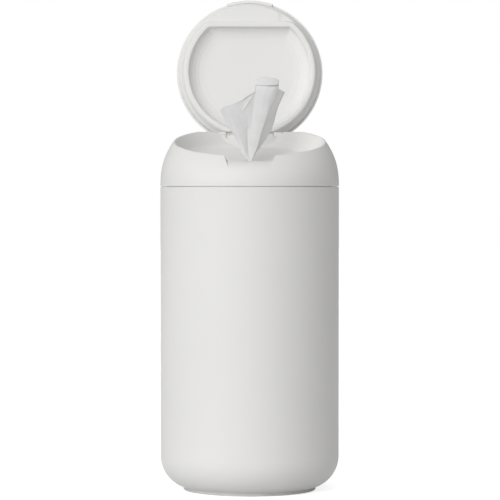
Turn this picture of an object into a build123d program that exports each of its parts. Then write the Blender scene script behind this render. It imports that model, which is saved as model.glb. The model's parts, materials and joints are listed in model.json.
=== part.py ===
"""Countertop wipes dispenser: round canister, lift-off cap with a slanted dish, and a flip lid that stands open.

Millimetres. +Z is up, -Y is the front, and the origin is the centre of the foot on the table.
"""
from build123d import *
import math
import os

os.makedirs("parts", exist_ok=True)

# ---------------------------------------------------------------- fits
SCREW_FIT = 0.05          # screw shank in its hole, per side
SLIP_FIT = 0.25           # a loose piece in its pocket, per side
PIN_FIT = 0.06            # hinge pin in its bosses and knuckle, per side
SEAT_GAP = 0.1            # between the lifted-off cap's rim and the ledge that it rests on
MOVE_GAP = 0.35           # around pieces that swing or slide

# ---------------------------------------------------------------- canister
BODY_R = 55.0             # outer radius of the canister and of the cap's skirt
WALL = 2.4                # moulded wall of the canister and cap
SEAM_Z = 187.0            # height of the cap's lower edge
GROOVE_W = 0.5            # height of the shadow groove under it
GROOVE_DEPTH = 0.8
BASE_ROUND = 20.0         # radius of the rounded bottom corner
FOOT_R = BODY_R - 14.3
FOOT_T = 1.8
FOOT_CHAMFER = 0.3
NECK_R = BODY_R - 4.2     # collar that stands up inside the cap
NECK_WALL = 2.0
NECK_H = 5.0              # collar height above the seam
NECK_DROP = 4.0           # how far below the seam the collar thickens the wall
FLOOR_Z = 14.0            # inside floor that the roll stands on
FLOOR_T = 2.4
PUNT_R = FOOT_R - 1.6     # hollow under the floor that holds the ballast
PUNT_DRAFT = 1.7          # the hollow's wall leans in by this much on the inside

# ---------------------------------------------------------------- ballast, its cover and screws
COVER_T = 2.2
WEIGHT_T = 6.0
WEIGHT_SIDE_GAP = 1.0
BASE_SCREW_COUNT = 3
BASE_SCREW_CIRCLE_R = PUNT_R - 11.1
BOSS_R = 3.4
SCREW_R = 1.4
SCREW_HEAD_R = 2.6
SCREW_HEAD_T = 1.2
SCREW_BITE = 5.0          # depth of thread in the boss
HOLE_TIP = 0.5            # hole left ahead of the screw's point

# ---------------------------------------------------------------- roll of wipes
ROLL_R = BODY_R - 8.0
ROLL_CORE_R = 12.0
ROLL_H = 160.0

# ---------------------------------------------------------------- cap shoulder and rim
RIM_R = BODY_R - 8.15     # rim radius in its own leaned plane
RIM_RISE = 27.4           # rim height above the seam, at the axis
RIM_SLOPE = 0.207         # rise of the rim plane towards the back
SHOULDER_POWER = 2.5      # how late the shoulder turns in
SHOULDER_STEPS = (0.0, 0.15, 0.3, 0.45, 0.6, 0.75, 0.88, 1.0)
ROOF_SHARE = 0.92         # the hollow inside the shoulder ends at this share of its height
BACK_RIM_UP = 4.7         # the back of the rim is level at this height above the hinge pin
BACK_RIM_START = 20.0     # the level cut starts behind this Y

# ---------------------------------------------------------------- dish inside the rim
MOUTH_R = RIM_R - 0.85
DISH_WALL_DROP = 8.0      # height of the steep wall
DISH_WALL_R = MOUTH_R - 4.0   # radius at the foot of the steep wall
DISH_FLOOR_R = MOUTH_R - 8.0  # radius where the shallow cone begins
DISH_FLOOR_DROP = 10.9
SEAT_R = 14.7             # rebate for the valve frame
SEAT_DROP = 15.6
CONE_END_DROP = 14.4      # depth of the shallow cone at the rebate
DISH_T = 1.9
HUB_R = 20.0
HUB_DROP = 18.4           # underside of the thick hub round the valve
VALVE_HOLE_R = 12.5

# ---------------------------------------------------------------- ribs and plug ring under the cap
RIB_COUNT = 8
RIB_T = 1.6
PLUG_TOP_Z = 7.6          # above the seam
PLUG_FLANGE_T = 1.8
PLUG_FLANGE_R = NECK_R - 1.0
PLUG_FLANGE_IN_R = NECK_R - 5.2
PLUG_SKIRT_GAP = 0.5      # skirt to collar
PLUG_SKIRT_T = 2.3
PLUG_SKIRT_DROP = 4.0     # skirt reaches this far below the seam
SEAL_R = 1.2              # radius of the sealing ring's section
SEAL_Z = 2.0              # sealing ring's height above the seam
SEAL_GAP = 0.15

# ---------------------------------------------------------------- valve
FRAME_R = 14.5
FRAME_MOUTH_R = 6.5
FRAME_T = 1.3
FRAME_BARREL_T = 2.8
VALVE_T = 1.4
VALVE_HOLE = 1.95         # where the wipe comes through
VALVE_DOME_R = 4.4
VALVE_TOP_DROP = 13.9
VALVE_DOME_T = 1.3
SLIT_COUNT = 6
SLIT_W = 0.35
SLIT_R = 4.0
RETAINER_R = 19.0
RETAINER_T = 1.6
VALVE_SCREW_COUNT = 3
VALVE_SCREW_CIRCLE_R = 16.4
VALVE_SCREW_R = 1.0
VALVE_SCREW_HEAD_R = 1.9
VALVE_SCREW_HEAD_T = 1.1
VALVE_SCREW_BITE = 2.4

# ---------------------------------------------------------------- hinge
HINGE_INSET = 10.5        # pin's axis in from the body's side
HINGE_DROP = 7.11         # pin's axis below the rim plane, straight down
PIN_R = 1.25
PIN_HALF = 17.9
KNUCKLE_R = 2.9
KNUCKLE_HALF = 14.8
HINGE_NOTCH_HALF = 15.1
HOUSING_HALF = 18.8
HOUSING_FRONT = 4.4       # front wall of the hinge housing, ahead of the pin's axis
HOUSING_WALL_TOP = 0.8    # that wall's top edge above the pin's axis
HOUSING_TOP = 1.9         # side bosses above the pin's axis
HOUSING_DEPTH = 6.0       # housing below the pin's axis
ARM_HALF_T = 2.5
ARM_LAP = 0.3             # the arm's front runs this far into the lid's panel
SWING_R = 5.2             # the lid's underside keeps this far from the pin's axis, beside the knuckle
SWING_HALF = 21.0
RIM_STEP_DROP = 0.8       # the back rim's inner edge is this much lower beside the notch
RIM_STEP_IN = 1.6         # as far back as this far ahead of the pin's axis
LID_OPEN = 110.0          # the lid stands this far open at rest
NOTCH_FALL = 20.0         # slope of the notch's floor behind the pin, in degrees

# ---------------------------------------------------------------- front finger notch
NOTCH_TOP_HALF = 15.7
NOTCH_LOW_HALF = 12.7
NOTCH_TOP_Z = 18.0        # heights above the seam
NOTCH_LOW_Z = 11.0
SCOOP_IN = 9.8            # the scooped floor starts this far in from the body's side, inside the dish
SCOOP_IN_Z = 14.9
SCOOP_OUT = 1.9           # and runs out into the skirt this far in
SCOOP_OUT_Z = 9.0
SCOOP_LEAD = 30.0         # the floor's slope there, in degrees from upright
NOTCH_FLARE = 0.12        # the notch's sides open outwards at this rate
SCOOP_PAD = 13.0          # depth of the solid pad under it
NOTCH_REACH = 17.0        # depth of the notch's cut, from the body's side
NOTCH_OUTER_DEPTH = 6.0   # depth of the outer skin, where the widths above are true
NOTCH_OVERRUN = 5.0       # the cut starts this far outside the body

# ---------------------------------------------------------------- lid (drawn shut, heights from the rim plane)
LID_R = RIM_R - 0.35
LID_EDGE_UP = 0.4         # the cover's land above the rim
COVER_LAND = 1.4
LID_DOME_H = 10.0
LID_SHOULDER_R = LID_R - 7.5
LID_SHOULDER_UP = 6.9
LID_T = 2.0
LID_EDGE_ANGLE = 53.7     # the dome starts at this slope, as the shoulder ends
INNER_GAP = 0.2           # inner panel to cover land
PANEL_TOP = 1.2           # top of the inner panel above the rim plane
PANEL_LOW = 3.8           # level of the flat front pad's surroundings, below the rim plane
BAND_R = LID_R - 3.5      # radius where the sloping band reaches that level
SEAL_BAND = 1.2           # height of the lid's sealing ring
SEAL_BAND_TOP = 0.4
SEAL_SINK = 0.7
SEAL_PROUD = 0.15
CREST_DROP = 6.9          # crest of the D-shaped ridge below the rim plane
CREST_R = LID_R - 8.0     # its inner edge
CHORD = CREST_R - 9.9     # the ridge's straight front run, from the axis
CREST_ROUND = 1.0
CREST_TOP_W = 2.4
RIDGE_FLARE = 1.4         # the ridge's outer flank spreads by this much
D_CORNER = 3.0
RECESS_FLOOR_DROP = 1.2   # recess floor below the rim plane
COVE = 10.0               # width of the coved wall
COVE_STEPS = (0.0, 0.35, 0.6, 0.8, 0.93, 1.0)
CORE_WALL = 1.7
CORE_SIDE = 0.6           # the hollow above the ridge lies this far out from the recess's edge and crest
CORE_FRONT = 2.4          # wall between the recess and the hollow ahead of it
PAD_HALF = 18.8
PAD_UP = 0.8
PAD_FRONT = LID_R - 4.5
TAB_HALF = 14.9
TAB_DROP = 1.6
TAB_PROUD = 0.5
TAB_T = 1.8

# ---------------------------------------------------------------- wipe
STRAND_R = 1.65
STRAND_TOP = 14.0         # above the seam
STRAND_LOW_Z = 150.0
STRAND_LOW_R = 7.0
TAIL_H = 55.0
TAIL_T = 0.9
TAIL_NECK_SHARE = 0.045   # width of the gathered neck against the fan's full width
# the fan's folds at full height, left to right: x, y
TAIL_FOLDS = ((-31.0, 3.0), (-17.0, -3.5), (-4.7, 1.5), (8.0, -4.0), (20.3, -6.0), (27.5, 5.0))
# the wipe's hem from its left corner to its right one: x, height above the neck
TAIL_HEM = ((-26.0, 30.5), (-18.2, 33.2), (-10.4, 36.7), (-6.0, 38.7), (3.8, 44.6), (3.0, 50.1),
            (5.0, 52.5), (8.9, 53.3), (14.8, 52.1), (17.2, 49.7), (17.6, 45.8), (21.7, 44.2), (28.0, 47.0))

# worked out from the sizes above
RIM_Z = SEAM_Z + RIM_RISE
HINGE_Y = BODY_R - HINGE_INSET
HINGE_Z = RIM_Z + RIM_SLOPE * HINGE_Y - HINGE_DROP
BASE_ARC_R = BODY_R - BASE_ROUND
BASE_ARC_Z = FOOT_T + math.sqrt(BASE_ROUND**2 - (FOOT_R - BASE_ARC_R)**2)
NECK_IN_R = NECK_R - NECK_WALL
BORE_R = BODY_R - WALL
COVER_TOP_Z = FOOT_T + COVER_T
LEDGE_Z = SEAM_Z - SEAT_GAP
STRAND_TOP_Z = SEAM_Z + STRAND_TOP
RIM_LEAN = math.degrees(math.atan(RIM_SLOPE))
WIPE_Y = (VALVE_TOP_DROP + VALVE_DOME_T / 2) * math.sin(math.radians(RIM_LEAN))   # middle of the valve's hole


# ================================================================ helpers
def spin(*edges):
    """Solid of revolution about Z of the closed outline in (radius, height)."""
    return revolve(make_face(Plane.XZ * (Curve() + list(edges))), Axis.Z)


def spin_points(*points):
    """Solid of revolution about Z of the closed polygon in (radius, height)."""
    return revolve(make_face(Plane.XZ * Polyline(*points, close=True)), Axis.Z)


def spin_rim(*points):
    """The same with heights counted from the rim plane, leaned with it."""
    return lean(spin_points(*[(r, RIM_Z + h) for r, h in points]))


def lean(shape):
    """Tilt a shape drawn level about the rim's centre, so that its level planes run with the rim."""
    return shape.rotate(Axis((0, 0, RIM_Z), (1, 0, 0)), RIM_LEAN)


def cylinder(radius, low, high, x=0.0, y=0.0):
    """Upright cylinder between two heights."""
    return Pos(x, y, (low + high) / 2) * Cylinder(radius, high - low)


def block(x_half, y_low, y_high, z_low, z_high):
    """Box centred on X."""
    centre = Pos(0, (y_low + y_high) / 2, (z_low + z_high) / 2)
    return centre * Box(2 * x_half, y_high - y_low, z_high - z_low)


def side_prism(x_half, *points):
    """Prism along X from a polygon in (y, z)."""
    return extrude(make_face(Plane.YZ * Polyline(*points, close=True)), x_half, both=True)


def hinge_rod(radius, x_half):
    """Cylinder along the hinge axis."""
    return Pos(0, HINGE_Y, HINGE_Z) * Rot(0, 90, 0) * Cylinder(radius, 2 * x_half)


def around(count, radius, start_deg=90.0):
    """Centres of copies spread evenly round the axis."""
    angles = [math.radians(start_deg + 360 * i / count) for i in range(count)]
    return [(radius * math.cos(a), radius * math.sin(a)) for a in angles]


def open_lid(shape):
    """Swing a piece drawn with the lid shut to where it stands at rest."""
    return shape.rotate(Axis((0, HINGE_Y, HINGE_Z), (1, 0, 0)), -LID_OPEN)


# ================================================================ canister
def canister_shell():
    corner = math.radians(45)
    outer_mid = (BASE_ARC_R + BASE_ROUND * math.cos(corner), BASE_ARC_Z - BASE_ROUND * math.sin(corner))
    groove_z = SEAM_Z - GROOVE_W
    blank = spin(
        Polyline((0, SEAM_Z + NECK_H), (0, FOOT_T), (FOOT_R, FOOT_T)),
        ThreePointArc((FOOT_R, FOOT_T), outer_mid, (BODY_R, BASE_ARC_Z)),
        Polyline((BODY_R, BASE_ARC_Z), (BODY_R, groove_z), (BODY_R - GROOVE_DEPTH, groove_z),
                 (BODY_R - GROOVE_DEPTH, LEDGE_Z), (NECK_R, LEDGE_Z), (NECK_R, SEAM_Z + NECK_H),
                 (0, SEAM_Z + NECK_H)),
    )
    inner_round = BASE_ROUND - WALL
    inner_mid = (BASE_ARC_R + inner_round * math.cos(corner), BASE_ARC_Z - inner_round * math.sin(corner))
    trough_r = PUNT_R + PUNT_DRAFT + WALL
    trough_z = BASE_ARC_Z - math.sqrt(inner_round**2 - (trough_r - BASE_ARC_R)**2)
    neck_low = SEAM_Z - NECK_DROP
    top = SEAM_Z + NECK_H + 1
    void = spin(
        Polyline((0, top), (0, FLOOR_Z), (PUNT_R + WALL, FLOOR_Z), (trough_r, trough_z)),
        ThreePointArc((trough_r, trough_z), inner_mid, (BORE_R, BASE_ARC_Z)),
        Polyline((BORE_R, BASE_ARC_Z), (BORE_R, neck_low - (BORE_R - NECK_IN_R)), (NECK_IN_R, neck_low),
                 (NECK_IN_R, top), (0, top)),
    )
    shell = blank - void - cylinder(PUNT_R, FOOT_T - 1, FLOOR_Z - FLOOR_T)
    for x, y in around(BASE_SCREW_COUNT, BASE_SCREW_CIRCLE_R):
        shell += cylinder(BOSS_R, COVER_TOP_Z, FLOOR_Z - FLOOR_T / 2, x, y)
    for x, y in around(BASE_SCREW_COUNT, BASE_SCREW_CIRCLE_R):
        shell -= cylinder(SCREW_R + SCREW_FIT, COVER_TOP_Z - 1, COVER_TOP_Z + SCREW_BITE + HOLE_TIP, x, y)
    return shell


def base_cover():
    cover = cylinder(PUNT_R - SLIP_FIT, FOOT_T, COVER_TOP_Z)
    for x, y in around(BASE_SCREW_COUNT, BASE_SCREW_CIRCLE_R):
        cover -= cylinder(SCREW_R + SCREW_FIT, FOOT_T - 1, COVER_TOP_Z + 1, x, y)
        cover -= cylinder(SCREW_HEAD_R + SCREW_FIT, FOOT_T - 1, FOOT_T + SCREW_HEAD_T, x, y)
    return cover


def base_weight():
    weight = cylinder(PUNT_R - WEIGHT_SIDE_GAP, COVER_TOP_Z, COVER_TOP_Z + WEIGHT_T)
    for x, y in around(BASE_SCREW_COUNT, BASE_SCREW_CIRCLE_R):
        weight -= cylinder(BOSS_R + SLIP_FIT, COVER_TOP_Z - 1, COVER_TOP_Z + WEIGHT_T + 1, x, y)
    return weight


def base_screws():
    solids = []
    for x, y in around(BASE_SCREW_COUNT, BASE_SCREW_CIRCLE_R):
        head = cylinder(SCREW_HEAD_R, FOOT_T, FOOT_T + SCREW_HEAD_T, x, y)
        solids.append(head + cylinder(SCREW_R, FOOT_T, COVER_TOP_Z + SCREW_BITE, x, y))
    return Compound(children=solids)


def foot_pad():
    return spin_points((0, 0), (FOOT_R - FOOT_CHAMFER, 0), (FOOT_R, FOOT_CHAMFER), (FOOT_R, FOOT_T), (0, FOOT_T))


def wipes_roll():
    return cylinder(ROLL_R, FLOOR_Z, FLOOR_Z + ROLL_H) - cylinder(ROLL_CORE_R, FLOOR_Z - 1, FLOOR_Z + ROLL_H + 1)


# ================================================================ cap
def shoulder_section(share, inset):
    """The shoulder's outline at a share of its height: level at the seam, leaned with the rim at the top."""
    radius = BODY_R - (BODY_R - RIM_R) * share**SHOULDER_POWER - inset
    plane = Plane(origin=(0, 0, SEAM_Z + RIM_RISE * share), x_dir=(1, 0, 0), z_dir=(0, -RIM_SLOPE * share, 1))
    return plane * Circle(radius)


def shoulder(inset, top_share):
    return loft([shoulder_section(step * top_share, inset) for step in SHOULDER_STEPS])


def dish_space():
    """Everything above the dish's visible surface."""
    return spin_rim(
        (0, 2 * LID_DOME_H), (MOUTH_R, 2 * LID_DOME_H), (MOUTH_R, 0), (DISH_WALL_R, -DISH_WALL_DROP),
        ((DISH_WALL_R + DISH_FLOOR_R) / 2, -(DISH_WALL_DROP + 2 * DISH_FLOOR_DROP) / 3),
        (DISH_FLOOR_R, -DISH_FLOOR_DROP), (SEAT_R, -CONE_END_DROP), (SEAT_R, -SEAT_DROP), (0, -SEAT_DROP),
    )


def dish_body():
    """Everything above the dish's underside."""
    cone_fall = (CONE_END_DROP - DISH_FLOOR_DROP) / (DISH_FLOOR_R - SEAT_R)
    hub_top = DISH_FLOOR_DROP + DISH_T + cone_fall * (DISH_FLOOR_R - HUB_R)
    return spin_rim(
        (0, 0), (MOUTH_R + DISH_T, 0), (DISH_WALL_R + DISH_T, -DISH_WALL_DROP - DISH_T / 2),
        (DISH_FLOOR_R, -DISH_FLOOR_DROP - DISH_T), (HUB_R, -hub_top), (HUB_R, -HUB_DROP), (0, -HUB_DROP),
    )


def hinge_housing():
    return block(HOUSING_HALF, HINGE_Y - HOUSING_FRONT, BODY_R, HINGE_Z - HOUSING_DEPTH, HINGE_Z + HOUSING_TOP)


def hinge_notch():
    """Room for the knuckle and for the lid's arm, from shut to open."""
    room = KNUCKLE_R + MOVE_GAP
    reach = BODY_R + 5 - HINGE_Y
    fall = math.radians(NOTCH_FALL)
    low_y = HINGE_Y - room * math.sin(fall)
    low_z = HINGE_Z - room * math.cos(fall)
    end_z = low_z - math.tan(fall) * reach
    top_z = RIM_Z + RIM_SLOPE * BODY_R + LID_DOME_H
    above = side_prism(
        HINGE_NOTCH_HALF, (HINGE_Y - room, top_z), (HINGE_Y - room, HINGE_Z), (HINGE_Y, HINGE_Z), (low_y, low_z),
        (low_y + reach, end_z), (low_y + reach, top_z),
    )
    return hinge_rod(room, HINGE_NOTCH_HALF) + above


def housing_relief():
    """Clears the housing's front wall above its low top edge, so that the lid's ridge passes."""
    wall_top = HINGE_Z + HOUSING_WALL_TOP
    return block(HINGE_NOTCH_HALF, HINGE_Y - HOUSING_FRONT - 1, HINGE_Y, wall_top, RIM_Z + LID_DOME_H * 2)


def notch_outline(depth, ease):
    """The notch's slanted-sided outline at a depth behind the body's front, eased in at each side."""
    rate = (NOTCH_TOP_HALF - NOTCH_LOW_HALF) / (NOTCH_TOP_Z - NOTCH_LOW_Z)
    low_z = SCOOP_OUT_Z - 2
    flare = NOTCH_FLARE * (NOTCH_OUTER_DEPTH - depth) - ease
    low_half = NOTCH_LOW_HALF + rate * (low_z - NOTCH_LOW_Z) + flare
    top_half = NOTCH_LOW_HALF + rate * (RIM_RISE - NOTCH_LOW_Z) + flare
    plane = Plane(origin=(0, depth - BODY_R, SEAM_Z), x_dir=(1, 0, 0), z_dir=(0, -1, 0))
    corners = [(-low_half, low_z), (low_half, low_z), (top_half, RIM_RISE), (-top_half, RIM_RISE)]
    return make_face(plane * Polyline(*corners, close=True))


def notch_wedge(ease):
    """The space between the notch's sides, which opens towards the front."""
    return loft([notch_outline(-NOTCH_OVERRUN, ease), notch_outline(NOTCH_REACH, ease)], ruled=True)


def finger_notch():
    """The notch in the front rim, with a floor that rolls over and runs out along the skirt."""
    outer_r = BODY_R + NOTCH_OVERRUN
    inner_r = BODY_R - NOTCH_REACH
    top_z = SEAM_Z + RIM_RISE + 2
    start = Vector(BODY_R - SCOOP_IN, SEAM_Z + SCOOP_IN_Z)
    end = Vector(BODY_R - SCOOP_OUT, SEAM_Z + SCOOP_OUT_Z)
    lead = math.radians(SCOOP_LEAD)
    up = Vector(-math.sin(lead), math.cos(lead))
    far = end - up * NOTCH_OVERRUN
    above_floor = spin(
        TangentArc(end, start, tangent=up),
        Polyline(end, far, (outer_r, far.Y), (outer_r, top_z), (inner_r, top_z), (inner_r, start.Y), start),
    )
    return notch_wedge(0) & above_floor


def cap_shell():
    outer = shoulder(0, 1.0)
    hollow = shoulder(WALL, ROOF_SHARE)
    inside = dish_body() + hinge_housing()
    rib_low = SEAM_Z + PLUG_TOP_Z
    for turn in range(RIB_COUNT):
        rib = Pos((PLUG_FLANGE_IN_R + BODY_R) / 2, 0, (rib_low + RIM_Z) / 2)
        rib = rib * Box(BODY_R - PLUG_FLANGE_IN_R, RIB_T, RIM_Z - rib_low)
        inside += Rot(0, 0, 360 / RIB_COUNT * (turn + 0.5)) * rib
    inside += block(NOTCH_TOP_HALF + WALL, -BODY_R, SCOOP_PAD - BODY_R, rib_low, SEAM_Z + SCOOP_IN_Z)
    space = dish_space()
    cap = (outer - hollow) + (inside & outer)
    cap -= space - hinge_housing()
    cap -= lean(cylinder(VALVE_HOLE_R, RIM_Z - HUB_DROP - 2, RIM_Z))
    cap -= hinge_notch() + housing_relief()
    cap -= hinge_rod(PIN_R + PIN_FIT, PIN_HALF + PIN_FIT)
    cap -= finger_notch()
    back_rim_z = HINGE_Z + BACK_RIM_UP
    cap -= block(2 * BODY_R, BACK_RIM_START, 2 * BODY_R, back_rim_z, SEAM_Z + 3 * RIM_RISE)
    cap -= block(SWING_HALF, BACK_RIM_START, HINGE_Y - RIM_STEP_IN, back_rim_z - RIM_STEP_DROP, back_rim_z + 1)
    for x, y in around(VALVE_SCREW_COUNT, VALVE_SCREW_CIRCLE_R):
        hole = cylinder(VALVE_SCREW_R + SCREW_FIT, RIM_Z - HUB_DROP - 1, RIM_Z - HUB_DROP + VALVE_SCREW_BITE, x, y)
        cap -= lean(hole)
    return cap


def plug_ring():
    top = SEAM_Z + PLUG_TOP_Z
    skirt_out = NECK_IN_R - PLUG_SKIRT_GAP
    skirt_in = skirt_out - PLUG_SKIRT_T
    groove_r = NECK_IN_R - SEAL_GAP - 2 * SEAL_R
    low = SEAM_Z - PLUG_SKIRT_DROP
    flange_low = top - PLUG_FLANGE_T
    groove_low = SEAM_Z + SEAL_Z - SEAL_R
    groove_high = SEAM_Z + SEAL_Z + SEAL_R
    return spin_points(
        (skirt_in, low), (skirt_out, low), (skirt_out, groove_low), (groove_r, groove_low), (groove_r, groove_high),
        (skirt_out, groove_high), (skirt_out, flange_low), (PLUG_FLANGE_R, flange_low), (PLUG_FLANGE_R, top),
        (PLUG_FLANGE_IN_R, top), (PLUG_FLANGE_IN_R, flange_low), (skirt_in, flange_low),
    )


def cap_seal():
    return Pos(0, 0, SEAM_Z + SEAL_Z) * Torus(NECK_IN_R - SEAL_GAP - SEAL_R, SEAL_R)


def valve_frame():
    top = -SEAT_DROP + FRAME_T
    low = -SEAT_DROP - FRAME_BARREL_T
    barrel_r = VALVE_HOLE_R - SLIP_FIT
    bead_r = barrel_r - FRAME_BARREL_T
    bead_top = -SEAT_DROP - 0.4
    return spin_rim(
        (FRAME_MOUTH_R, top - 0.4), (FRAME_MOUTH_R + 0.6, top), (FRAME_R - 0.3, top), (FRAME_R, top - 0.3),
        (FRAME_R, -SEAT_DROP), (barrel_r, -SEAT_DROP), (barrel_r, low), (bead_r, low), (bead_r, bead_top),
        (FRAME_MOUTH_R, bead_top),
    )


def valve():
    bead_top = -SEAT_DROP - 0.4
    bead_low = bead_top - VALVE_T
    bead_r = VALVE_HOLE_R - SLIP_FIT - FRAME_BARREL_T
    neck_r = FRAME_MOUTH_R - SLIP_FIT
    top = -VALVE_TOP_DROP
    body = spin_rim(
        (VALVE_HOLE, top), (VALVE_DOME_R, top - 0.4), (neck_r, bead_top), (bead_r, bead_top), (bead_r, bead_low),
        (neck_r - 0.6, bead_low), (VALVE_DOME_R - 0.9, top - VALVE_DOME_T - 0.2), (VALVE_HOLE, top - VALVE_DOME_T),
    )
    for turn in range(SLIT_COUNT // 2):
        slit = Pos(0, 0, RIM_Z - SEAT_DROP) * Rot(0, 0, 180 * turn / (SLIT_COUNT // 2))
        body -= lean(slit * Box(2 * SLIT_R, SLIT_W, 4 * SEAT_DROP))
    return body


def valve_retainer():
    low = -HUB_DROP - RETAINER_T
    bead_low = -SEAT_DROP - 0.4 - VALVE_T
    bead_r = VALVE_HOLE_R - SLIP_FIT - FRAME_BARREL_T
    ring = spin_rim(
        (FRAME_MOUTH_R, low), (RETAINER_R, low), (RETAINER_R, -HUB_DROP), (bead_r - SLIP_FIT, -HUB_DROP),
        (bead_r - SLIP_FIT, bead_low), (FRAME_MOUTH_R, bead_low),
    )
    for x, y in around(VALVE_SCREW_COUNT, VALVE_SCREW_CIRCLE_R):
        ring -= lean(cylinder(VALVE_SCREW_R + SCREW_FIT, RIM_Z + low - 1, RIM_Z - HUB_DROP + 1, x, y))
    return ring


def valve_screws():
    low = RIM_Z - HUB_DROP - RETAINER_T
    solids = []
    for x, y in around(VALVE_SCREW_COUNT, VALVE_SCREW_CIRCLE_R):
        shank = cylinder(VALVE_SCREW_R, low, RIM_Z - HUB_DROP + VALVE_SCREW_BITE - HOLE_TIP, x, y)
        head = cylinder(VALVE_SCREW_HEAD_R, low - VALVE_SCREW_HEAD_T, low, x, y)
        solids.append(lean(shank + head))
    return Compound(children=solids)


def hinge_pin():
    return hinge_rod(PIN_R, PIN_HALF)


# ================================================================ wipe
def wipe_strand():
    """The next wipe, gathered in the valve and spreading as it goes down into the roll's core."""
    return Pos(0, WIPE_Y, 0) * spin_points(
        (0, STRAND_TOP_Z), (STRAND_R, STRAND_TOP_Z), (STRAND_R, STRAND_TOP_Z - 9),
        ((STRAND_R + STRAND_LOW_R) / 2, (STRAND_TOP_Z + STRAND_LOW_Z) / 2 - 3), (STRAND_LOW_R, STRAND_LOW_Z),
        (0, STRAND_LOW_Z),
    )


def fan_section(height, share):
    """The folded sheet's cut at one height: its front edge, then its back edge one thickness behind."""
    thick = TAIL_T * (0.5 + 0.5 * share)
    front = [(x * share, WIPE_Y + y * share, height) for x, y in TAIL_FOLDS]
    back = [(x, y + thick, z) for x, y, z in reversed(front)]
    return make_face(Polyline(*front, *back, close=True))


def wipe_tail():
    """The wipe's free end: a folded fan that rises from the valve, cut along its uneven hem."""
    top = STRAND_TOP_Z + TAIL_H
    fan = loft([fan_section(STRAND_TOP_Z, TAIL_NECK_SHARE), fan_section(top, 1.0)], ruled=True)
    side = BODY_R
    hem = [(x, STRAND_TOP_Z + h) for x, h in TAIL_HEM]
    outline = [(-side, STRAND_TOP_Z - 1), (-side, hem[0][1]), *hem, (side, hem[-1][1]), (side, STRAND_TOP_Z - 1)]
    keep = extrude(make_face(Plane.XZ * Polyline(*outline, close=True)), BODY_R, both=True)
    return fan & keep


# ================================================================ lid
def lid_cover():
    lift = math.radians(LID_EDGE_ANGLE)
    rise = (-math.cos(lift), math.sin(lift))
    land_in = LID_R - COVER_LAND
    edge = RIM_Z + LID_EDGE_UP
    outer = Spline((LID_R, edge), (LID_SHOULDER_R, RIM_Z + LID_SHOULDER_UP), (0, RIM_Z + LID_DOME_H),
                   tangents=[rise, (-1, 0)])
    inner = Spline((land_in, edge), (LID_SHOULDER_R - LID_T / 2, RIM_Z + LID_SHOULDER_UP - LID_T),
                   (0, RIM_Z + LID_DOME_H - LID_T), tangents=[rise, (-1, 0)])
    dome = spin(outer, inner, Line((LID_R, edge), (land_in, edge)),
                Line((0, RIM_Z + LID_DOME_H), (0, RIM_Z + LID_DOME_H - LID_T)))
    tab = spin_points((land_in, edge + TAB_T), (land_in, RIM_Z - TAB_DROP), (LID_R + TAB_PROUD, RIM_Z - TAB_DROP),
                      (LID_R + TAB_PROUD, edge + TAB_T / 3), (LID_R - 1, edge + TAB_T / 2))
    tab &= block(TAB_HALF, -BODY_R, 0, SEAM_Z, RIM_Z + LID_DOME_H)
    return lean(dome) + (lean(tab) & notch_wedge(MOVE_GAP))


def d_face(height, grow):
    """D-shaped outline of the lid's ridge, grown or shrunk by one amount all round."""
    radius = CREST_R + grow
    chord = CHORD + grow
    disc = Circle(radius) & Pos(0, radius - chord) * Rectangle(3 * radius, 2 * radius)
    corners = disc.vertices().sort_by(Axis.Y)[:2]
    return Pos(0, 0, RIM_Z + height) * fillet(corners, D_CORNER + max(grow, 0))


def recess_tool():
    """Space of the D-shaped recess: a rounded lip, then a coved wall down to the flat floor."""
    lip = [0.0, 0.06, 0.2, 0.5, 1.0]
    sections = [d_face(-CREST_DROP - 1, CREST_ROUND)]
    for share in lip:
        grow = CREST_ROUND * (1 - math.sqrt(1 - (1 - share)**2))
        sections.append(d_face(-CREST_DROP + share * CREST_ROUND, grow))
    depth = CREST_DROP - CREST_ROUND - RECESS_FLOOR_DROP
    for share in COVE_STEPS[1:]:
        grow = -COVE * (1 - math.sqrt(1 - share**2))
        sections.append(d_face(-CREST_DROP + CREST_ROUND + share * depth, grow))
    return loft(sections, ruled=True)


def ridge():
    """The D-shaped ridge that stands down into the dish."""
    base = CREST_TOP_W + CREST_ROUND + RIDGE_FLARE
    return loft([d_face(-PANEL_LOW + 1, base), d_face(-CREST_DROP + 1.2, CREST_TOP_W + CREST_ROUND + 0.4),
                 d_face(-CREST_DROP + 0.3, CREST_TOP_W + CREST_ROUND - 0.3),
                 d_face(-CREST_DROP, CREST_TOP_W + CREST_ROUND - 1.0)], ruled=True)


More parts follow.
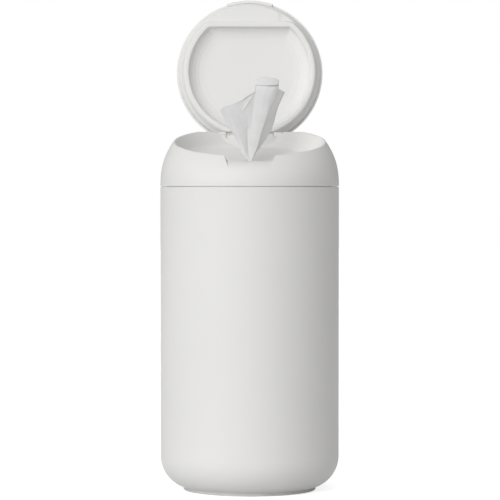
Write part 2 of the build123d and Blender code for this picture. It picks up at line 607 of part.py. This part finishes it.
def lid_inner():
    top = RIM_Z + PANEL_TOP
    seal_low = RIM_Z - SEAL_BAND_TOP - SEAL_BAND
    out = LID_R - COVER_LAND - INNER_GAP
    seal_r = out - SEAL_SINK
    panel = spin_points(
        (0, top), (out - 1.6, top), (out, RIM_Z + 0.2), (out, RIM_Z - SEAL_BAND_TOP), (seal_r, RIM_Z - SEAL_BAND_TOP),
        (seal_r, seal_low), (out, seal_low), (BAND_R, RIM_Z - PANEL_LOW), (0, RIM_Z - PANEL_LOW),
    )
    pad = block(PAD_HALF, -PAD_FRONT, -CHORD, RIM_Z - PANEL_LOW - PAD_UP, RIM_Z - PANEL_LOW + 0.5)
    panel += pad & cylinder(BAND_R - 0.4, SEAM_Z, top)
    panel += ridge()
    panel -= recess_tool()
    core_low = RIM_Z - CREST_DROP + CORE_WALL + 1
    core_r = CREST_R + CREST_TOP_W + CORE_SIDE
    core = cylinder(core_r, core_low, top + 1) - cylinder(CREST_R + CORE_SIDE, core_low - 1, top + 2)
    front_core = cylinder(core_r, core_low + 1.6, top + 1)
    front_core &= block(BODY_R, -BODY_R, -CHORD - CORE_FRONT, SEAM_Z, top + 2)
    panel -= core & block(BODY_R, -CHORD + 6, BODY_R, SEAM_Z, top + 2)
    panel -= front_core
    panel = lean(panel)
    panel -= hinge_rod(SWING_R, SWING_HALF)
    arm_back = HINGE_Y + ARM_HALF_T
    arm_low = HINGE_Y - ARM_HALF_T
    arm_front = HINGE_Y - SWING_R - ARM_LAP
    under = HINGE_Z + HOUSING_WALL_TOP + MOVE_GAP
    lid_z = RIM_Z + LID_EDGE_UP - SEAT_GAP
    arm = side_prism(KNUCKLE_HALF, (arm_low, HINGE_Z), (arm_back, HINGE_Z), (arm_back, lid_z + RIM_SLOPE * arm_back),
                     (arm_front, lid_z + RIM_SLOPE * arm_front), (arm_front, under), (arm_low, under))
    knuckle = hinge_rod(KNUCKLE_R, KNUCKLE_HALF) + arm
    return panel + knuckle - hinge_rod(PIN_R + PIN_FIT, KNUCKLE_HALF + 1)


def lid_seal():
    """Soft ring in the groove round the inner panel's band, open at the back for the hinge arm."""
    out = LID_R - COVER_LAND - INNER_GAP
    low = -SEAL_BAND_TOP - SEAL_BAND
    ring = spin_rim((out - SEAL_SINK, low), (out, low), (out + SEAL_PROUD, low + SEAL_BAND / 2),
                    (out, -SEAL_BAND_TOP), (out - SEAL_SINK, -SEAL_BAND_TOP))
    return ring - block(KNUCKLE_HALF + 2, 0, BODY_R, SEAM_Z, RIM_Z + LID_R)


PIECES = {
    "canister_shell": canister_shell,
    "base_weight": base_weight,
    "base_cover": base_cover,
    "base_screws": base_screws,
    "foot_pad": foot_pad,
    "wipes_roll": wipes_roll,
    "cap_shell": cap_shell,
    "plug_ring": plug_ring,
    "cap_seal": cap_seal,
    "valve_frame": valve_frame,
    "valve": valve,
    "valve_retainer": valve_retainer,
    "valve_screws": valve_screws,
    "hinge_pin": hinge_pin,
    "wipe_strand": wipe_strand,
    "wipe_tail": wipe_tail,
}

LID_PIECES = {
    "lid_cover": lid_cover,
    "lid_inner": lid_inner,
    "lid_seal": lid_seal,
}

for name, make in PIECES.items():
    export_step(make(), f"parts/{name}.step")

for name, make in LID_PIECES.items():
    export_step(open_lid(make()), f"parts/{name}.step")
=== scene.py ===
"""Looks of the countertop wipes dispenser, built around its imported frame. Metres; +Z up, -Y the front."""
import json
import math

import bpy
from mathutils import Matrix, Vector, noise


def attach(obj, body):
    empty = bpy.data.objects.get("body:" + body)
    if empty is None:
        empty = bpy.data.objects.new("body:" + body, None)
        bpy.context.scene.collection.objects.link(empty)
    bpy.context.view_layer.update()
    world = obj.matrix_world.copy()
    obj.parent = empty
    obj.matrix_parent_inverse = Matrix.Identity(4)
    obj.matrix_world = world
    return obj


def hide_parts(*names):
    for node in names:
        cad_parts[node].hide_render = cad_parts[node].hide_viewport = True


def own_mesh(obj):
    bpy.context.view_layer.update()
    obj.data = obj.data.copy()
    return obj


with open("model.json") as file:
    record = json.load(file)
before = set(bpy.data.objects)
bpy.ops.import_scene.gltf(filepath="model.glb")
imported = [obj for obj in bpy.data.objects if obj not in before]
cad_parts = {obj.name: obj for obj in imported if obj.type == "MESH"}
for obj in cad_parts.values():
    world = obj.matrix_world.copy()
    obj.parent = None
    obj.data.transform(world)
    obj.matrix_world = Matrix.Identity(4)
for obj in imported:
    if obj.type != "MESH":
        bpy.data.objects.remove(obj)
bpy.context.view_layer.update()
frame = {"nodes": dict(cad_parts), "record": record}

NODES = frame["nodes"]
MM = 0.001

# the camera, from the photograph's proportions, in metres
EYE_DISTANCE = 1.5758
EYE_SIDE = 0.0002
EYE_HEIGHT = 0.187
EYE_PITCH_DEG = 1.432     # how far it looks down
LENS_MM = 184.0
SENSOR_MM = 36.0

# the light and the floor
AMBIENT = 0.355           # strength of the surroundings as a light; the camera sees them at 1
SUN_AWAY = 2.0            # metres from the origin; a sun shines the same from any distance
FLOOR_HALF = 6.0          # half of the floor's side, in metres
FLOOR_PAINT = (0.70, 0.70, 0.70)
FLOOR_GLOW = 0.73         # what the floor adds for the camera, so that it shows white

# the wipe
NECK = Vector((0.0, 2.95, 201.0))   # where its free end leaves the valve, in millimetres
SHEET_THICK = 0.00035     # one layer of the free end, in metres
ROLL_THICK = 0.00055      # one layer of the roll, in metres

# the range that nearly all values of a noise texture lie in
USUAL = (0.3, 0.7)


# ================================================================ material helpers
class Nodes:
    """Short calls for building one material's nodes."""

    def __init__(self, name):
        self.material = bpy.data.materials.new(name)
        self.material.use_nodes = True
        self.tree = self.material.node_tree
        self.shader = self.tree.nodes["Principled BSDF"]
        self.coords = self.add("ShaderNodeTexCoord").outputs["Object"]

    def add(self, kind):
        return self.tree.nodes.new(kind)

    def link(self, source, target):
        self.tree.links.new(source, target)

    def stretched(self, stretch):
        """The object's own coordinates, scaled along each axis."""
        mapping = self.add("ShaderNodeMapping")
        mapping.inputs["Scale"].default_value = stretch
        self.link(self.coords, mapping.inputs["Vector"])
        return mapping.outputs["Vector"]

    def noise(self, scale, detail=3.0, rough=0.5, stretch=(1, 1, 1)):
        place = self.stretched(stretch)
        node = self.add("ShaderNodeTexNoise")
        node.inputs["Scale"].default_value = scale
        node.inputs["Detail"].default_value = detail
        node.inputs["Roughness"].default_value = rough
        self.link(place, node.inputs["Vector"])
        return node.outputs["Fac"]

    def voronoi(self, scale, stretch=(1, 1, 1)):
        place = self.stretched(stretch)
        node = self.add("ShaderNodeTexVoronoi")
        node.inputs["Scale"].default_value = scale
        self.link(place, node.inputs["Vector"])
        return node.outputs["Distance"]

    def span(self, value, low, high, source=USUAL):
        """A texture's range, source, spread over low to high."""
        node = self.add("ShaderNodeMapRange")
        node.inputs["From Min"].default_value = source[0]
        node.inputs["From Max"].default_value = source[1]
        node.inputs["To Min"].default_value = low
        node.inputs["To Max"].default_value = high
        self.link(value, node.inputs["Value"])
        return node.outputs["Result"]

    def ramp(self, value, first, last):
        """A colour between first and last."""
        node = self.add("ShaderNodeValToRGB")
        for element, position, color in zip(node.color_ramp.elements, USUAL, (first, last)):
            element.position = position
            element.color = (*color, 1)
        self.link(value, node.inputs["Fac"])
        return node.outputs["Color"]

    def bump(self, value, strength, distance, under=None):
        """Surface relief, laid over the relief under."""
        node = self.add("ShaderNodeBump")
        node.inputs["Strength"].default_value = strength
        node.inputs["Distance"].default_value = distance
        self.link(value, node.inputs["Height"])
        if under is not None:
            self.link(under, node.inputs["Normal"])
        return node.outputs["Normal"]

    def set(self, **values):
        for key, value in values.items():
            self.shader.inputs[key.replace("_", " ")].default_value = value

    def finish(self, color, rough, normal):
        """Link the three textured sockets and give the material."""
        self.link(color, self.shader.inputs["Base Color"])
        self.link(rough, self.shader.inputs["Roughness"])
        self.link(normal, self.shader.inputs["Normal"])
        return self.material


def tone(base, shift):
    """The colour base, lighter or darker by the share shift."""
    return tuple(max(0.0, min(1.0, channel * (1 + shift))) for channel in base)


def moulded_plastic(name, base, rough, grain):
    """Matte injection moulding: a fine spark-eroded grain, faint flow clouds and a slightly uneven sheen."""
    n = Nodes(name)
    n.set(IOR=1.46, Specular_IOR_Level=0.35)
    clouds = n.noise(scale=14.0, detail=4.0, rough=0.55)
    color = n.ramp(clouds, tone(base, -0.012), tone(base, 0.008))
    sheen = n.span(n.noise(scale=900.0, detail=2.0), low=rough - 0.05, high=rough + 0.06)
    coarse = n.bump(n.noise(scale=60.0), strength=0.03, distance=0.0008)
    fine = n.bump(n.noise(scale=2600.0, rough=0.65), strength=grain, distance=0.00006, under=coarse)
    return n.finish(color, sheen, fine)


def silicone(name, base):
    """Soft translucent rubber with a faint powdery bloom."""
    n = Nodes(name)
    n.set(IOR=1.41, Subsurface_Weight=0.25, Subsurface_Scale=0.002)
    bloom = n.noise(scale=380.0, detail=4.0, rough=0.6)
    color = n.ramp(bloom, tone(base, -0.03), tone(base, 0.03))
    relief = n.bump(n.noise(scale=1500.0), strength=0.15, distance=0.00005)
    return n.finish(color, n.span(bloom, low=0.38, high=0.55), relief)


def foot_rubber(name, base):
    """Dense rubber with a leathery mould texture."""
    n = Nodes(name)
    n.set(IOR=1.5)
    cells = n.voronoi(scale=1600.0)
    color = n.ramp(n.noise(scale=90.0), tone(base, -0.05), tone(base, 0.04))
    rough = n.span(cells, low=0.75, high=0.92, source=(0.0, 0.6))
    return n.finish(color, rough, n.bump(cells, strength=0.25, distance=0.00008))


def steel(name, base, rough, stretch):
    """Bare steel with the lines that its making leaves."""
    n = Nodes(name)
    n.set(Metallic=1.0)
    lines = n.noise(scale=700.0, detail=5.0, rough=0.6, stretch=stretch)
    color = n.ramp(lines, tone(base, -0.12), tone(base, 0.1))
    relief = n.bump(lines, strength=0.12, distance=0.00004)
    return n.finish(color, n.span(lines, low=rough - 0.08, high=rough + 0.1), relief)


def nonwoven(name, base):
    """Damp non-woven sheet: long tangled fibres, thin and thick patches, and small water-jet dimples."""
    n = Nodes(name)
    n.set(IOR=1.38, Sheen_Weight=0.12, Sheen_Roughness=0.6)
    upright = n.noise(scale=1500.0, detail=5.0, rough=0.7, stretch=(1.0, 1.0, 0.16))
    level = n.noise(scale=1300.0, detail=5.0, rough=0.7, stretch=(0.2, 1.0, 1.0))
    patches = n.noise(scale=150.0, detail=4.0, rough=0.6)
    dimples = n.voronoi(scale=620.0, stretch=(1.0, 1.0, 0.8))
    color = n.ramp(patches, tone(base, -0.035), tone(base, 0.03))
    normal = n.bump(patches, strength=0.12, distance=0.0004)
    normal = n.bump(dimples, strength=0.16, distance=0.00012, under=normal)
    normal = n.bump(upright, strength=0.3, distance=0.0001, under=normal)
    normal = n.bump(level, strength=0.2, distance=0.0001, under=normal)
    return n.finish(color, n.span(patches, low=0.78, high=0.92), normal)


WHITE = (0.80, 0.795, 0.78)
MATERIALS = {
    "shell_plastic": moulded_plastic("shell plastic", WHITE, rough=0.52, grain=0.14),
    "cap_plastic": moulded_plastic("cap plastic", WHITE, rough=0.5, grain=0.12),
    "lid_plastic": moulded_plastic("lid plastic", WHITE, rough=0.48, grain=0.1),
    "inner_plastic": moulded_plastic("inner plastic", (0.72, 0.72, 0.70), rough=0.42, grain=0.08),
    "seal_silicone": silicone("seal silicone", (0.78, 0.78, 0.77)),
    "foot_rubber": foot_rubber("foot rubber", (0.70, 0.70, 0.68)),
    "wipe_fabric": nonwoven("wipe fabric", (0.72, 0.72, 0.72)),
    "ballast_steel": steel("ballast steel", (0.35, 0.35, 0.36), rough=0.5, stretch=(1, 1, 1)),
    "screw_steel": steel("screw steel", (0.60, 0.60, 0.60), rough=0.35, stretch=(1, 1, 0.2)),
    "pin_steel": steel("pin steel", (0.62, 0.62, 0.62), rough=0.3, stretch=(0.05, 1, 1)),
}

for row in frame["record"]["subparts"]:
    for place in NODES[row["node"]].material_slots:
        place.material = MATERIALS[row["material_slot"]]


# ================================================================ pieces of cloth
def smooth_step(low, high, value):
    """0 below low, 1 above high, and an easy rise between."""
    t = max(0.0, min(1.0, (value - low) / (high - low)))
    return t * t * (3 - 2 * t)


def slope(before, here, after):
    """Slope at a key that never overshoots its neighbours."""
    left = (here[1] - before[1]) / max(here[0] - before[0], 1e-6)
    right = (after[1] - here[1]) / max(after[0] - here[0], 1e-6)
    if left * right <= 0:
        return 0.0
    return 2 * left * right / (left + right)


def along(keys, t):
    """Smooth values at t of a list of (t, value...) keys."""
    for i in range(len(keys) - 1):
        if t <= keys[i + 1][0]:
            break
    span = keys[i + 1][0] - keys[i][0]
    f = (t - keys[i][0]) / span
    out = []
    for k in range(1, len(keys[0])):
        pick = [(keys[n][0], keys[n][k]) for n in (max(i - 1, 0), i, i + 1, min(i + 2, len(keys) - 1))]
        a, b = pick[1][1], pick[2][1]
        chord = (b - a) / span
        m0 = (slope(*pick[:3]) if i > 0 else chord) * span
        m1 = (slope(*pick[1:]) if i + 2 < len(keys) else chord) * span
        out.append((2 * f**3 - 3 * f**2 + 1) * a + (f**3 - 2 * f**2 + f) * m0
                   + (-2 * f**3 + 3 * f**2) * b + (f**3 - f**2) * m1)
    return out


def sheet_mesh(name, rows, slot):
    """Smooth sheet through rows of points, in a slot's material."""
    mesh = bpy.data.meshes.new(name)
    count = len(rows[0])
    points = [tuple(p) for row in rows for p in row]
    faces = []
    for r in range(len(rows) - 1):
        for c in range(count - 1):
            first = r * count + c
            faces.append((first, first + 1, first + count + 1, first + count))
    mesh.from_pydata(points, [], faces)
    mesh.polygons.foreach_set("use_smooth", [True] * len(faces))
    obj = bpy.data.objects.new(name, mesh)
    bpy.context.scene.collection.objects.link(obj)
    mesh.materials.append(MATERIALS[slot])
    return obj


def thicken(obj, thickness):
    """Give a sheet its thickness, half to each side."""
    solid = obj.modifiers.new("thickness", "SOLIDIFY")
    solid.thickness = thickness
    solid.offset = 0
    solid.use_rim = True


# hem of the free end, left to right across the sheet, in millimetres from the neck:
# share of the sheet's width, x, y and height of the hem, how far it's folded over to the front there,
# and the y that its lower half runs to
HEM = (
    (0.00, -18.2, 1.9, 33.2, 0.0, 2.9),
    (0.05, -15.8, 0.0, 35.1, 0.0, 0.3),
    (0.13, -13.0, -0.5, 35.9, 0.0, -1.2),
    (0.20, -10.5, -0.5, 36.7, 0.0, -0.6),
    (0.30, -5.6, -0.2, 38.7, 0.5, 0.6),
    (0.40, -0.8, -0.1, 42.7, 0.9, 1.0),
    (0.46, 2.4, 0.4, 43.9, 0.5, 0.7),
    (0.49, 3.7, 0.6, 44.8, 0.2, 0.4),
    (0.515, 4.0, 0.6, 50.4, 1.6, 0.3),
    (0.54, 5.0, 0.3, 52.4, 4.1, 0.0),
    (0.60, 8.9, -0.5, 53.3, 5.1, -0.4),
    (0.66, 12.2, -1.0, 53.1, 4.8, -0.9),
    (0.71, 15.2, -1.1, 52.4, 3.9, -1.1),
    (0.755, 17.8, -0.4, 50.9, 2.2, -0.6),
    (0.775, 17.6, 0.2, 46.4, 0.2, 0.4),
    (0.82, 19.2, 1.5, 45.4, 0.0, 3.0),
    (0.88, 21.7, 3.8, 44.2, 0.0, 6.6),
    (0.94, 18.5, 6.8, 44.0, 0.0, 8.6),
    (1.00, 13.0, 8.8, 43.0, 0.0, 10.0),
)
HEM_PULL = (0.35, 0.9)    # shares of the height between which the lower half's y goes over to the hem's

# the top that is folded over to the front
CURL_R = 0.34             # radius of the fold at the right
CURL_LEAST = 0.19         # and at the left
CURL_GROWS = (0.54, 0.70)   # shares of the width between which it goes from one to the other
CURL_FULL = 1.4           # shortest flap with a full fold
FLAP_LEAN = 0.38          # how much the top leans back, and its flap forward, per millimetre of height
BEND_FROM = 45.0          # height where the top starts to lean
BEND_EASE = 1.2           # and how slowly it sets in

# bulges: the size, middle and spread up the sheet of each, and the shares of the width that bound it
BELLY = (3.1, 0.45, 0.24)
BELLY_FROM = (0.79, 0.87)
BELLY_BACK = 0.7          # share of this one that also goes back
SIDE = (0.9, 0.20, 0.14)
SIDE_FROM = (0.52, 0.70)
SIDE_TO = (0.78, 0.86)
LEFT_LOW = (1.4, 0.20, 0.10)
LEFT_HIGH = (1.4, 0.74, 0.10)
LEFT_TO = (0.0, 0.10)

# short folds: how far each goes back, its two ends (x, height) and its width, in millimetres
CREASES = (
    (-0.4, (-3.9, 33.0), (1.8, 42.0), 0.8),
    (0.45, (-1.0, 5.0), (-1.6, 22.0), 1.1),
    (-0.3, (-8.0, 18.0), (-12.5, 33.0), 1.6),
)
CREASE_END = 1.5          # length over which a fold fades in and out

# uneven waves: which way they go, their depth, their scales across and up the sheet, and a seed
WAVES = (
    ("y", 0.8, 5.0, 1.8, 0.3),
    ("y", 0.16, 19.0, 6.0, 4.1),
    ("x", 0.3, 6.0, 3.0, 9.7),
)
# even pleats, deepest at a third of the height
PLEATS = 6
PLEAT_DEPTH = 0.25
PLEAT_PHASE = 0.8

# the neck, where the sheet is rolled up
NECK_R = 1.35
NECK_TURNS = 2.6
NECK_SHARE = 0.12         # share of the height where it has opened out
NECK_INNER = 0.35         # share of its radius at the spiral's inner end


def swell(share, form):
    """A soft bulge of a given size, middle and spread."""
    size, middle, spread = form
    return size * math.exp(-((share - middle) / spread) ** 2)


def crease(x, z, start, end, width):
    """Weight of a short fold between two points (x, height above the neck)."""
    run = (end[0] - start[0], end[1] - start[1])
    length = math.hypot(*run)
    u = ((x - start[0]) * run[0] + (z - start[1]) * run[1]) / length
    d = ((x - start[0]) * run[1] - (z - start[1]) * run[0]) / length
    begun = smooth_step(-CREASE_END, CREASE_END, u)
    ended = smooth_step(length - CREASE_END, length + CREASE_END, u)
    return math.exp(-(d / width) ** 2) * (begun * (1 - ended))


def wipe_point(t, s):
    """Point of the free end at a share t of its width and s of the way from neck to hem."""
    x, y_top, h, drop, y_low = along(HEM, t)
    curl = CURL_LEAST + (CURL_R - CURL_LEAST) * smooth_step(*CURL_GROWS, t)
    curl *= smooth_step(0.0, CURL_FULL, drop)
    fold_h = h - curl
    rise = s * (fold_h + math.pi * curl + drop)
    share = min(rise / fold_h, 1.0)
    px = x * share
    py = (y_low + (y_top - y_low) * smooth_step(*HEM_PULL, share)) * share
    pz = min(rise, fold_h)
    bend = max(0.0, pz - BEND_FROM)
    py += FLAP_LEAN * bend * bend / (bend + BEND_EASE)
    # bulges
    belly = swell(share, BELLY) * smooth_step(*BELLY_FROM, t)
    px += belly
    py += BELLY_BACK * belly
    px += swell(share, SIDE) * smooth_step(*SIDE_FROM, t) * (1 - smooth_step(*SIDE_TO, t))
    px -= (swell(share, LEFT_LOW) + swell(share, LEFT_HIGH)) * (1 - smooth_step(*LEFT_TO, t))
    # over the fold and down its front
    over = rise - fold_h
    if over > 0 and curl > 0:
        turn = min(over / curl, math.pi)
        hang = max(0.0, over - math.pi * curl)
        py -= curl * (1 - math.cos(turn)) + FLAP_LEAN * hang
        pz += curl * math.sin(turn) - hang
    # pleats, waves and short folds
    py += PLEAT_DEPTH * math.sin(2 * math.pi * PLEATS * t + PLEAT_PHASE) * share * (1 - share) ** 2
    for way, depth, across, up, seed in WAVES:
        wave = noise.noise(Vector((t * across, share * up, seed))) * depth * share
        if way == "x":
            px += wave
        else:
            py += wave
    for back, start, end, width in CREASES:
        py += back * crease(px, pz, start, end, width)
    # rolled up at the neck
    neck = NECK_R * (1 - smooth_step(0.0, NECK_SHARE, share)) * (NECK_INNER + (1 - NECK_INNER) * t)
    angle = 2 * math.pi * NECK_TURNS * t
    px += neck * math.cos(angle)
    py += neck * math.sin(angle)
    return (NECK + Vector((px, py, pz))) * MM


def make_wipe_end():
    """The free end, standing up out of the valve."""
    across, up = 240, 130
    rows = [[wipe_point(c / across, r / up) for c in range(across + 1)] for r in range(up + 1)]
    obj = sheet_mesh("wipe_end", rows, "wipe_fabric")
    thicken(obj, SHEET_THICK)
    return obj


# the gathered length below the valve, rolled loosely on itself and spreading downwards, in millimetres
GATHER_TOP = 200.9
GATHER_LOW = 150.4
GATHER_TURNS = 4.0
GATHER_R = 1.55           # outer radius in the valve
GATHER_SPREAD = 5.1       # what it gains on the way down
GATHER_FLARE = (0.16, 1.0)   # shares of the way between which it gains it
GATHER_EASE = 1.4         # how late it gains it
GATHER_INNER = 0.16       # share of the radius at the spiral's inner end
GATHER_TWIST = 1.2        # turning of the spiral on the way down, in radians
GATHER_DENTS = 3          # hollows round it
GATHER_DENT = 0.14        # their depth, as a share of the radius
GATHER_DENT_TWIST = 4     # their own turning on the way down
GATHER_DENT_FULL = 0.3    # share of the way down where they have their full depth


def gather_point(t, z):
    """Point of the gathered length at a share t of its width and a height z."""
    fall = (GATHER_TOP - z) / (GATHER_TOP - GATHER_LOW)
    widest = GATHER_R + GATHER_SPREAD * smooth_step(*GATHER_FLARE, fall) ** GATHER_EASE
    turn = 2 * math.pi * GATHER_TURNS * t + GATHER_TWIST * fall
    dent = 0.5 + 0.5 * math.cos(GATHER_DENTS * turn + GATHER_DENT_TWIST * fall)
    dent *= GATHER_DENT * smooth_step(0, GATHER_DENT_FULL, fall)
    radius = widest * (GATHER_INNER + (1 - GATHER_INNER) * t) * (1 - dent)
    return Vector((radius * math.cos(turn), NECK.y + radius * math.sin(turn), z)) * MM


def make_wipe_gather():
    """The gathered length from the valve down into the roll's core."""
    across, down = 150, 44
    levels = [GATHER_TOP + (GATHER_LOW - GATHER_TOP) * r / down for r in range(down + 1)]
    rows = [[gather_point(c / across, z) for c in range(across + 1)] for z in levels]
    return sheet_mesh("wipe_gather", rows, "wipe_fabric")


# the roll of wipes, one long sheet wound on itself, in millimetres
ROLL_IN_R = 12.4
ROLL_OUT_R = 46.7
ROLL_PITCH = 0.8          # from one turn to the next
ROLL_LOW = 14.15
ROLL_TOP = 173.8
ROLL_TURNS = (ROLL_OUT_R - ROLL_IN_R) / ROLL_PITCH
ROLL_POINTS = 56          # points in one turn
ROLL_LEVELS = (0.0, 0.02, 0.5, 0.98, 1.0)
# unevenness of the turns and of the sheet's edges: depth, scales across and round the roll, and a seed
ROLL_RIPPLE = (0.12, 0.9, 2.0, 0.0)
ROLL_EDGE = (0.45, 1.7, 1.5, 5.0)
ROLL_EDGE_LOW = 0.3       # share of the edges' unevenness below the top


def uneven(radius, c, s, form):
    """Smooth noise at a radius and a direction round the roll."""
    depth, across, around, seed = form
    return noise.noise(Vector((radius * across, c * around, s * around + seed))) * depth


def roll_point(i, share):
    """Point number i along the wound sheet, at a share of its height."""
    turn = 2 * math.pi * i / ROLL_POINTS
    c, s = math.cos(turn), math.sin(turn)
    radius = ROLL_IN_R + ROLL_PITCH * i / ROLL_POINTS
    radius += uneven(radius, c, s, ROLL_RIPPLE)
    room = ROLL_EDGE[0]
    z = ROLL_LOW + room + (ROLL_TOP - ROLL_LOW - 2 * room) * share
    z += uneven(radius, c, s, ROLL_EDGE) * (1 if share > 0.9 else ROLL_EDGE_LOW)
    return Vector((radius * c, radius * s, z)) * MM


def make_wipe_roll():
    """The roll, wound in one spiral."""
    count = int(ROLL_TURNS * ROLL_POINTS)
    rows = [[roll_point(i, share) for i in range(count + 1)] for share in ROLL_LEVELS]
    obj = sheet_mesh("wipe_roll", rows, "wipe_fabric")
    thicken(obj, ROLL_THICK)
    return obj


wipe_end = make_wipe_end()
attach(wipe_end, "cap")
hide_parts("wipe_tail")
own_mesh(wipe_end)

wipe_gather = make_wipe_gather()
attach(wipe_gather, "cap")
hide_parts("wipe_strand")

wipe_roll = make_wipe_roll()
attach(wipe_roll, "canister")
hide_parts("wipes_roll")


# ================================================================ floor, light and camera
def seen_by(tree, *rays):
    """Socket that is 1 for two kinds of ray and 0 for all others."""
    path = tree.nodes.new("ShaderNodeLightPath")
    seen = tree.nodes.new("ShaderNodeMath")
    seen.operation = "MAXIMUM"
    for place, ray in zip(seen.inputs, rays):
        tree.links.new(path.outputs[ray], place)
    return seen.outputs[0]


def camera_white(name, lit_colour, shown):
    """Floor that shows white to the camera and keeps the object's shadow."""
    material = bpy.data.materials.new(name)
    material.use_nodes = True
    tree = material.node_tree
    tree.nodes.clear()
    output = tree.nodes.new("ShaderNodeOutputMaterial")
    diffuse = tree.nodes.new("ShaderNodeBsdfDiffuse")
    diffuse.inputs["Color"].default_value = (*lit_colour, 1)
    glow = tree.nodes.new("ShaderNodeEmission")
    glow.inputs["Color"].default_value = (1, 1, 1, 1)
    weight = tree.nodes.new("ShaderNodeMath")
    weight.operation = "MULTIPLY"
    weight.inputs[1].default_value = shown
    tree.links.new(seen_by(tree, "Is Camera Ray", "Is Glossy Ray"), weight.inputs[0])
    tree.links.new(weight.outputs[0], glow.inputs["Strength"])
    add = tree.nodes.new("ShaderNodeAddShader")
    tree.links.new(diffuse.outputs[0], add.inputs[0])
    tree.links.new(glow.outputs[0], add.inputs[1])
    tree.links.new(add.outputs[0], output.inputs["Surface"])
    return material


def make_floor():
    """The white surface that the dispenser stands on."""
    mesh = bpy.data.meshes.new("floor")
    corners = [(x * FLOOR_HALF, y * FLOOR_HALF, 0) for x, y in ((-1, -1), (1, -1), (1, 1), (-1, 1))]
    mesh.from_pydata(corners, [], [(0, 1, 2, 3)])
    floor = bpy.data.objects.new("floor", mesh)
    bpy.context.scene.collection.objects.link(floor)
    mesh.materials.append(camera_white("floor paint", FLOOR_PAINT, FLOOR_GLOW))


def soft_sun(name, azimuth_deg, elevation_deg, spread_deg, strength):
    """A large soft light; azimuth 0 is the front and negative is the left."""
    data = bpy.data.lights.new(name, "SUN")
    data.angle = math.radians(spread_deg)
    data.energy = strength
    lamp = bpy.data.objects.new(name, data)
    bpy.context.scene.collection.objects.link(lamp)
    azimuth = math.radians(azimuth_deg)
    elevation = math.radians(elevation_deg)
    away = Vector((math.sin(azimuth) * math.cos(elevation), -math.cos(azimuth) * math.cos(elevation),
                   math.sin(elevation)))
    lamp.location = away * SUN_AWAY
    lamp.rotation_euler = (-away).to_track_quat("-Z", "Y").to_euler()


def make_world():
    """Surroundings that are white to the camera and dimmer for the light on the object."""
    world = bpy.data.worlds.new("studio")
    bpy.context.scene.world = world
    world.use_nodes = True
    tree = world.node_tree
    background = tree.nodes["Background"]
    background.inputs["Color"].default_value = (1, 1, 1, 1)
    level = tree.nodes.new("ShaderNodeMapRange")
    level.inputs["To Min"].default_value = AMBIENT
    level.inputs["To Max"].default_value = 1.0
    tree.links.new(seen_by(tree, "Is Camera Ray", "Is Transmission Ray"), level.inputs["Value"])
    tree.links.new(level.outputs["Result"], background.inputs["Strength"])


make_floor()
make_world()
soft_sun("key", azimuth_deg=-40, elevation_deg=24, spread_deg=50, strength=1.40)
soft_sun("front fill", azimuth_deg=-8, elevation_deg=15, spread_deg=60, strength=0.66)
soft_sun("top fill", azimuth_deg=-10, elevation_deg=75, spread_deg=60, strength=0.24)

camera_data = bpy.data.cameras.new("camera")
camera_data.lens = LENS_MM
camera_data.sensor_width = SENSOR_MM
camera = bpy.data.objects.new("camera", camera_data)
camera.location = (EYE_SIDE, -EYE_DISTANCE, EYE_HEIGHT)
camera.rotation_euler = (math.radians(90 - EYE_PITCH_DEG), 0, 0)
bpy.context.scene.collection.objects.link(camera)
bpy.context.scene.camera = camera
bpy.context.scene.view_settings.view_transform = "Standard"
